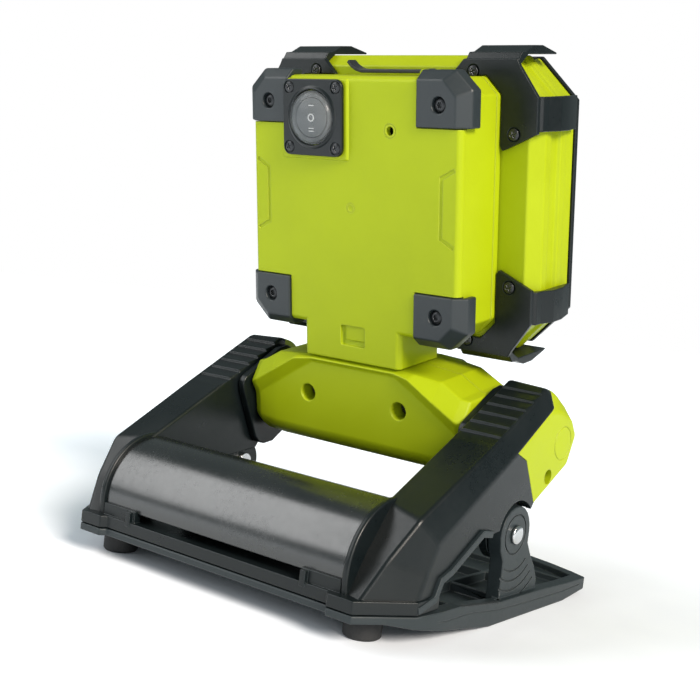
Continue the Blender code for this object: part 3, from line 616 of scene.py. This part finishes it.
flange_right = [(0, -17), (66, -17), (68, -20), (81, -20), (97, 3), (97, 19), (0, 19)]
flange = rounded(prism("Z", both_sides(flange_right), 14.4, 20), 0.6, 2)
cut(flange, box((-60.5, 60.5), (-8.5, 14.5), (10, 17.8)))
band = [(3.4, 16.3), (15.3, 19.3), (18.8, 26.7), (25.9, 29.3), (48.1, 42.7), (56, 41.6)]
for side in (1, -1):
    add(flange, rounded(box(sorted((50 * side, 71 * side)), (-15.5, -11.5), (19, 25.5)), 0.5, 2))
    add(flange, rounded(box(sorted((51 * side, 54 * side)), (-17.6, -14.4), (18, 25)), 0.5, 2))
around = [math.radians(186 - 196 * i / 72) for i in range(73)]
outer = [(TUBE_CENTRE[0] + TUBE_R * math.cos(a), TUBE_CENTRE[1] + TUBE_R * math.sin(a)) for a in around]
inner_r = TUBE_R - TUBE_WALL
inner = [(TUBE_CENTRE[0] + inner_r * math.cos(a), TUBE_CENTRE[1] + inner_r * math.sin(a)) for a in around]
tube = rounded(prism("X", outer + inner[::-1], -71.8, 71.8), 0.5, 2, 40)
lip_angles = [math.radians(190 - 2.5 * i) for i in range(49)]
lip = [(TUBE_CENTRE[0] + 30.1 * math.cos(a), TUBE_CENTRE[1] + 30.1 * math.sin(a)) for a in lip_angles]
lip += [(26, 51), (12, 46), (0, 34), (-7, 17.3), (-16, 17.3)]
arm_lip = rounded(prism("X", lip, 71.2, 74.2), 1.0, 3, 40)
arm_edge = rounded(prism("X", strip(band, 3.2), 94, 97.6), 0.5, 2)
JAW = ("upper_jaw",)
for label, flip in SIDES:
    finish(copy_of(arm, flip), "arm_shell_" + label, TO_BASE, LOOKS["black_shell"], "upper_jaw",
           JAW, 24)
    finish(copy_of(cover, flip), "arm_cover_skin_" + label, TO_BASE, LOOKS["green_shell"], "upper_jaw",
           ("arm_cover_" + label,), 24)
    finish(copy_of(arm_lip, flip), "arm_lip_" + label, TO_BASE, LOOKS["black_shell"], "upper_jaw",
           JAW, 40)
    finish(copy_of(arm_edge, flip), "arm_edge_" + label, TO_BASE, LOOKS["matte_black"], "upper_jaw",
           JAW)
drop(arm, cover, arm_lip, arm_edge)
finish(flange, "jaw_flange", TO_BASE, LOOKS["black_shell"], "upper_jaw", JAW)
finish(tube, "front_cover", TO_BASE, GLOSSY_BLACK, "upper_jaw", JAW, 20)

# Lower jaw: rounded edges, then the grooves on its ears and the line along its rails.
lower = refined("lower_jaw", 0.6, 2)
to_drawn = Matrix.Translation((0, DEPTH_CENTRE, 0))
lower.data.transform(to_drawn)
for side in (1, -1):
    span = sorted((95.3 * side, 97 * side))
    ring = [(8.6, span[0]), (9.5, span[0]), (9.5, span[1]), (8.6, span[1])]
    cut(lower, turned("X", JAW_PIVOT, ring, 48))
    for radius in (17.0, 21.5, 26.0, 30.5):
        arc = [math.radians(-118 + 7 * i) for i in range(11)]
        trace = [(JAW_PIVOT[0] + 1 + radius * math.cos(a), JAW_PIVOT[1] + radius * math.sin(a)) for a in arc]
        cut(lower, prism("X", strip(trace, 0.9), *span))
    rail = [(8, 10.6), (24, 9.2), (40, 9.4), (66, 6.6), (98, 5.6), (126, 5.2), (146, 5.8)]
    cut(lower, prism("X", strip(rail, 0.7), *sorted((98.6 * side, 99.6 * side))))
    for k in range(22):
        y = 34.5 + 1.5 * k
        cut(lower, box(sorted((97.2 * side, 100 * side)), (y, y + 0.7), (13.2 - 0.118 * (y - 33.4), 15)))
lower.data.transform(to_drawn.inverted())
finish(lower, "lower_jaw_skin", ROW, LOOKS["matte_black"], "lower_jaw", ("lower_jaw",), 28)

CORNERS = ("top_left", "top_right", "bottom_left", "bottom_right")
for corner in CORNERS:
    redo("bumper_" + corner, 0.8, BUMPER_GREY, angle=20)
for label in ("left", "right"):
    redo("foot_front_" + label, 0.3)
    redo("hinge_pin_" + label, 0.25, segments=2, angle=40)
    redo("tilt_bolt_" + label, 0.3, segments=2, angle=40)
redo("lamp_housing", 0.7, angle=18)
redo("front_bezel", 0.6)
redo("hanging_hook", 0.35)
redo("charge_port_cover", 0.4)


# Corner guards: a plate behind each corner of the lamp, and two legs that hook over its edges.
guard_plate = [(41, 231), (34, 223.6), (53.7, 223.6), (61.4, 215.3), (61.4, 192), (62.7, 190)]
guard_plate += [(80.5, 198), (80.5, 214), (70.5, 228), (69, 231)]
leg = [(33.2, 226), (33.2, 229), (37, 234), (41, 234.2), (48, 237), (56, 237)]
leg += [(69, 233.7), (69, 232.9), (43, 232.9), (41, 231.8), (35.7, 228.2), (35.7, 226)]
side_leg = [(z - LAMP_MID_Z - LAMP_HALF_HEIGHT + LAMP_HALF_WIDTH, y) for y, z in leg]
guard = rounded(prism("Y", guard_plate, 33.2, 35.7), 0.4, 3, 16)
top_leg = rounded(prism("X", leg, 41.5, 69.5), 0.35, 3, 16)
add(guard, top_leg, rounded(prism("Z", side_leg, 199, 214.5), 0.35, 3, 16))
GUARD_SCREWS = ((46.3, 62.8), (68.7, 35.1))
GUARD_RECESS = [(0, 32), (3.4, 32), (3.4, 33.6), (2.9, 33.9), (0, 33.9)]
for gx, gz in GUARD_SCREWS:
    cut(guard, turned("Y", (gx, LAMP_MID_Z + gz), GUARD_RECESS, 28))
for label_x, flip in SIDES:
    for label_z, mirror in (("top", None), ("bottom", LAMP_MID_Z)):
        where = label_z + "_" + label_x
        finish(copy_of(guard, flip, mirror), "corner_guard_skin_" + where, TO_HEAD, LOOKS["black_shell"],
               "head", ("corner_guard_" + where,), 24)
drop(guard)

# Tilt bar in two shells, with its collars.
BAR_SECTIONS = (
    (25.3, [(10, 39.5), (2.5, 46), (2.5, 84.0), (1.0, 85.8), (4.5, 87.2)]),
    (35.0, [(10, 39.5), (2.5, 46), (2.5, 78.2), (-1.0, 84.8), (5.2, 86.2)]),
    (49.7, [(10, 39.5), (2.5, 46), (2.5, 68.8), (-1.2, 75.8), (6.4, 84.7)]),
    (60.8, [(11, 39.8), (3.0, 47), (2.8, 61.6), (-1.0, 69.2), (6.0, 78.3)]),
    (65.5, [(13, 41.5), (5.0, 48.5), (4.4, 60.4), (1.4, 67.2), (8.0, 77.2)]),
)
BAR_HOLLOW = (
    (24.0, [(12, 43.5), (6, 50), (6, 80), (9, 84.1)]),
    (49.0, [(12, 43.5), (6, 50), (6, 68), (11, 79)]),
    (61.5, [(14, 45), (7.5, 51), (7.5, 62), (12, 73)]),
)


def bar_loft(sections):
    rings = []
    for x, rear in [(-x, o) for x, o in reversed(sections)] + list(sections):
        rings.append([placed("X", y, z, x) for y, z in rear + [(48 - y, z) for y, z in reversed(rear)]])
    return loft(rings)


def bar_share(a, b):
    """The foot is rounded most."""
    low = max(a.z, b.z) < 49
    along = abs(a.x - b.x) > 3
    if abs(a.x) > 65 and abs(b.x) > 65:
        return 0.35
    if along:
        return 1.0 if low else 0.22
    return 0.1 if low else 0.16


BAR_SCREW = (27.9, 67.2)
SCREW_WELL = [(0, -4), (5.2, -4), (5.2, 2.1), (4.7, 2.5), (4.2, 3.2), (4.2, 12), (0, 12)]
bar = rounded_by(bar_loft(BAR_SECTIONS), 3.6, bar_share)
cut(bar, bar_loft(BAR_HOLLOW))
for side in (1, -1):
    at = (BAR_SCREW[0] * side, BAR_SCREW[1])
    add(bar, rod("Y", at, 6.2, 3.4, 44.6, 32))
    cut(bar, turned("Y", at, SCREW_WELL, 40))
    cut(bar, rod("Y", at, 1.9, 11, 38, 16), rod("X", (23, 66), 4.3, 50 * side, 68 * side, 28))
cut(bar, rod("Z", (0, 23), 4.3, 80, 90, 28))
bar_front = copy_of(bar)
cut(bar, box((-70, 70), (23.85, 60), (30, 95)))
cut(bar_front, box((-70, 70), (-10, 24.15), (30, 95)))
for shell, end in ((bar, "rear"), (bar_front, "front")):
    finish(shell, "tilt_bar_%s_skin" % end, TO_HEAD, LOOKS["green_shell"], "tilt_bar",
           ("tilt_bar_" + end,), 26)
COLLAR = [(-3.6, 68.4), (-4.2, 66), (-3.9, 62.5), (4.2, 35.6), (6.8, 32), (11, 30.2), (18, 30)]
COLLAR += [(31, 36), (41, 50), (44, 64), (40, 75), (32, 80.6), (25, 80), (-1.6, 70.2)]
collar = rounded(prism("X", COLLAR, 65.8, 69.8), 0.8, 3, 20)
cut(collar, rod("X", (23, 66), 4.3, 60, 75, 28))
for label, flip in SIDES:
    finish(copy_of(collar, flip), "tilt_collar_skin_" + label, TO_HEAD, LOOKS["black_shell"], "tilt_bar",
           ("tilt_collar_" + label,), 30)
drop(collar)


# Screws with a cross or a six-point recess
def screw_head(axis, centre, top, radius, height, recess, inward):
    """A pan head whose top is at this place along the axis, with the head going inward from it."""
    depth_of = [top + inward * height * part for part in (1.0, 0.45, 0.12, 0.0)]
    line = [(0, depth_of[0]), (radius, depth_of[0]), (radius, depth_of[1]), (radius * 0.82, depth_of[2])]
    line += [(radius * 0.55, depth_of[3]), (0, depth_of[3])]
    made = turned(axis, centre, line, 28)
    depth = sorted((top - inward * 0.5, top + inward * height * 0.7))
    if recess == "cross":
        for turn in (25, 115):
            a = math.radians(turn)
            u, v = math.cos(a) * radius * 0.62, math.sin(a) * radius * 0.62
            bar = strip([(centre[0] - u, centre[1] - v), (centre[0] + u, centre[1] + v)], radius * 0.26)
            cut(made, prism(axis, bar, *depth))
    else:
        cut(made, rod(axis, centre, radius * 0.5, *depth, 6))
    return made


def screw(name, head, rest, place, body, stands_for=()):
    """A screw from its head's (axis, centre, top, radius, height, recess, inward) and its shank's length."""
    axis, centre, top, radius, height, _, inward = head
    made = screw_head(*head)
    ends = sorted((top + inward * (height - 0.2), top + inward * (height + rest)))
    add(made, rod(axis, centre, radius * 0.45, *ends, 16))
    finish(made, name, place, LOOKS["dark_steel"], body, stands_for, 40)


for sx, label_x in ((-1, "left"), (1, "right")):
    for sz, label_z in ((1, "top"), (-1, "bottom")):
        where = label_z + "_" + label_x
        at = (49.5 * sx, CASE_MID_Z + sz * 47.6)
        bumper_head = ("Y", at, 1.3, 3.2, 1.8, "six", 1)
        screw("bumper_screw_head_" + where, bumper_head, 8.0, TO_HEAD, "head", ("bumper_screw_" + where,))
        for k, (gx, gz) in enumerate(GUARD_SCREWS):
            guard_head = ("Y", (gx * sx, LAMP_MID_Z + gz * sz), 32.3, 2.6, 0.9, "cross", 1)
            screw("guard_screw_%s_%d" % (where, k + 1), guard_head, 1.6, TO_HEAD, "head")
    bar_head = ("Y", (BAR_SCREW[0] * sx, BAR_SCREW[1]), 9.2, 3.5, 2.5, "cross", 1)
    screw("bar_screw_head_" + label_x, bar_head, 20, TO_HEAD, "tilt_bar", ("bar_screw_" + label_x,))
    cover_head = ("X", COVER_SCREW, 92.6 * sx, 3.2, 2.3, "cross", -sx)
    screw("cover_screw_head_" + label_x, cover_head, 8, TO_BASE, "upper_jaw", ("arm_cover_screw_" + label_x,))
SWITCH_SCREW = 14.0
for k, (sx, sz) in enumerate(((1, 1), (-1, 1), (-1, -1), (1, -1))):
    at = (SWITCH_AT[0] + SWITCH_SCREW * sx, SWITCH_AT[1] + SWITCH_SCREW * sz)
    switch_head = ("Y", at, -2.2, 2.6, 1.0, "cross", 1)
    screw("switch_screw_head_%d" % (k + 1), switch_head, 1.0, TO_HEAD, "head", ("switch_screw_%d" % (k + 1),))


# Switch: plate with a raised collar, a rocker with three marks, and its clear boot.
def rounded_square(centre, half, radius, steps=5):
    outline = []
    reach = half - radius
    for cx, cz, start in ((1, 1, 0), (-1, 1, 90), (-1, -1, 180), (1, -1, 270)):
        middle = (centre[0] + cx * reach, centre[1] + cz * reach)
        for step in range(steps + 1):
            a = math.radians(start + 90 * step / steps)
            outline.append((middle[0] + radius * math.cos(a), middle[1] + radius * math.sin(a)))
    return outline


plate = rounded(prism("Y", rounded_square(SWITCH_AT, 17.8, 4.0), -2, 0), 0.5, 3, 50)
cut(plate, rod("Y", SWITCH_AT, 13.0, -3, 1, 56))
raised_collar = [(13.0, -2.5), (13.5, -2.8), (14.2, -2.6), (14.9, -1.8), (14.9, -0.3), (13.0, -0.3)]
add(plate, turned("Y", SWITCH_AT, raised_collar, 56))
for sx in (1, -1):
    for sz in (1, -1):
        at = (SWITCH_AT[0] + SWITCH_SCREW * sx, SWITCH_AT[1] + SWITCH_SCREW * sz)
        cut(plate, rod("Y", at, 3.1, -4, -1.2, 28), rod("Y", at, 1.7, -4, 1, 16))
finish(plate, "switch_plate_skin", TO_HEAD, LOOKS["black_shell"], "head",
       ("switch_plate",), 40)

BOOT_FOOT = -1.9
BOOT_OUTSIDE, BOOT_INSIDE = (12.6, 6.4), (11.8, 5.6)


def dome(radius, height):
    turns = [math.radians(a) for a in range(0, 90, 6)]
    arc = [(radius * math.cos(a), BOOT_FOOT - height * math.sin(a)) for a in turns]
    return arc + [(0.0, BOOT_FOOT - height)]


boot = turned("Y", SWITCH_AT, dome(*BOOT_OUTSIDE)[::-1] + dome(*BOOT_INSIDE), 56)
finish(boot, "switch_boot_skin", TO_HEAD, LOOKS["smoke_boot"], "head", ("switch_boot",), 60)
rim = turned("Y", SWITCH_AT, [(9.6, -2.2), (10.4, -2.7), (11.5, -2.5), (11.6, -1.7), (9.9, -1.7)], 56)
finish(rim, "switch_rim", TO_HEAD, ROCKER_GREY, "head", (), 50)

rocker = rod("Y", SWITCH_AT, 9.2, -2.6, 1.6, 56)
rocker_face = [(-4.6, -12), (-2.05, -12), (-2.7, 0), (-2.05, 12), (-4.6, 12)]
cut(rocker, prism("X", [(y, SWITCH_AT[1] + z) for y, z in rocker_face], -40, 0))
rounded(rocker, 0.35, 2, 30)
finish(rocker, "switch_rocker_skin", TO_HEAD, ROCKER_GREY, "rocker", ("switch_rocker",), 30)
MARK_Y = (-2.85, -2.2)
mark_section = [(1.35, MARK_Y[0]), (1.85, MARK_Y[0]), (1.85, MARK_Y[1]), (1.35, MARK_Y[1])]
finish(turned("Y", SWITCH_AT, mark_section, 32), "mark_ring", TO_HEAD, MARK_WHITE, "rocker")
for k, mark_z in enumerate((5.6, -5.0, -6.3)):
    z = SWITCH_AT[1] + mark_z
    bar_x = (SWITCH_AT[0] - 1.5, SWITCH_AT[0] + 1.5)
    flat = box(bar_x, (MARK_Y[0] + 0.2, MARK_Y[1] + 0.3), (z - 0.22, z + 0.22))
    finish(flat, "mark_bar_%d" % (k + 1), TO_HEAD, MARK_WHITE, "rocker")

# Every other CAD node keeps its own mesh.
stood_for = {name for item in bpy.data.objects for name in item.get("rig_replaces", [])}
for name, item in frame["nodes"].items():
    if name not in stood_for:
        item.data.materials.clear()
        item.data.materials.append(LOOKS[SLOT_OF[name]])

# Floor, light and camera
floor = prism("Z", circle((0, 0), 2400, 96), -6, -0.05)
floor.data.transform(TO_BASE)
floor.name = "floor"
floor.data.materials.append(FLOOR_WHITE)
paper = FLOOR_WHITE.node_tree
far_off = node(paper, "ShaderNodeVectorMath", operation="LENGTH")
link(paper, node(paper, "ShaderNodeTexCoord").outputs["Object"], far_off.inputs[0])
glow = ranged(paper, far_off.outputs["Value"], 0.12, 0.45, 0.0, 0.5)
link(paper, glow, paper.nodes["Principled BSDF"].inputs["Emission Strength"])

world = bpy.data.worlds.new("studio")
bpy.context.scene.world = world
world.use_nodes = True
sky = world.node_tree
seen = node(sky, "ShaderNodeLightPath").outputs["Is Camera Ray"]
link(sky, ranged(sky, seen, 0.0, 1.0, 0.22, 1.0), sky.nodes["Background"].inputs["Strength"])
sky_colour = mixed(sky, seen, (0.84, 1.0, 1.0), (1.0, 1.0, 1.0))
link(sky, sky_colour, sky.nodes["Background"].inputs["Color"])


def soft_light(name, at, aim, up, size, power):
    data = bpy.data.lights.new(name, "AREA")
    data.shape = "RECTANGLE"
    data.size, data.size_y = size
    data.energy = power
    lamp = bpy.data.objects.new(name, data)
    bpy.context.scene.collection.objects.link(lamp)
    back = (Vector(at) - Vector(aim)).normalized()
    across = Vector(up).cross(back).normalized()
    turn = Matrix((across, back.cross(across), back)).transposed().to_4x4()
    lamp.matrix_world = Matrix.Translation(at) @ turn


key = bpy.data.lights.new("key", "SUN")
key.energy = 4.9
key.angle = math.radians(24)
key.color = (1.0, 0.90, 0.80)
sun = bpy.data.objects.new("key", key)
bpy.context.scene.collection.objects.link(sun)
sun.rotation_euler = Vector((0.80, -0.26, 0.54)).to_track_quat("Z", "Y").to_euler()
soft_light("softbox_left", (-0.83, -0.75, 0.755), (0, -0.06, 0.04), (0, 0.72, 0.69), (0.6, 1.3), 9.5)
soft_light("strip_right", (0.9, -0.9, 0.35), (0, 0, 0.1), (0, 0, 1), (0.12, 0.7), 2.5)

camera_data = bpy.data.cameras.new("camera")
camera_data.lens = 62.13
camera_data.sensor_width = 36.0
camera_data.clip_start = 0.02
camera = bpy.data.objects.new("camera", camera_data)
bpy.context.scene.collection.objects.link(camera)
stand = Vector((349.1, -400.6 - DEPTH_CENTRE, 158.9)) * MM
round_to = Matrix.Rotation(math.radians(37.82), 4, "Z")
look_down = Matrix.Rotation(math.radians(90 - 13.71), 4, "X")
camera.matrix_world = Matrix.Translation(stand) @ LEAN @ round_to @ look_down
bpy.context.scene.camera = camera
bpy.context.scene.view_settings.view_transform = "Standard"
